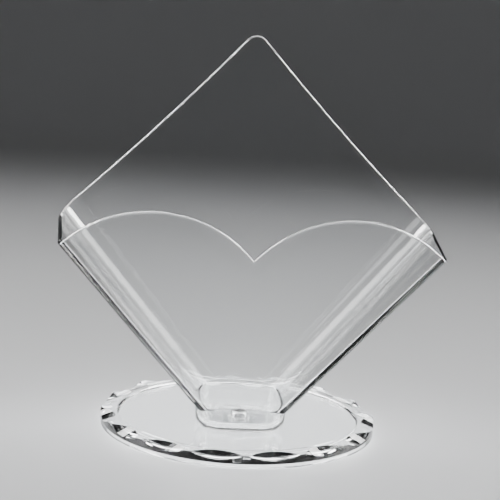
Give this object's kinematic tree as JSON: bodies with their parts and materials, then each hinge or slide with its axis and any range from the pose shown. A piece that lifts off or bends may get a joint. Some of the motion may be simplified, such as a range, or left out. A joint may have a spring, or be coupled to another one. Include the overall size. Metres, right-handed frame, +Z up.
{
  "type": "napkin holder",
  "caption": "Clear table-top napkin holder: a corner-down pocket with a tall back panel and a two-arc front, swivelling on a round scalloped base.",
  "frame": {"origin": "centre of the base's underside, on the table", "axes": "+X to the right, +Y towards the tall back panel, +Z up"},
  "size_m": [0.1722, 0.128, 0.1799],
  "materials": {
    "pocket_plastic": "clear, polished",
    "base_plastic": "clear, polished",
    "screw_steel": "bright zinc plated",
    "washer_nylon": "natural nylon"
  },
  "bodies": {
    "base": {"base": "base_plastic", "screw": "screw_steel", "washer": "washer_nylon"},
    "pocket": {"pocket": "pocket_plastic"}
  },
  "joints": [
    {"name": "pocket_swivel", "type": "hinge", "parent": "base", "child": "pocket", "pos_m": [0, -0.011, 0.0037], "axis": [0, 0, 1], "continuous": true}
  ]
}
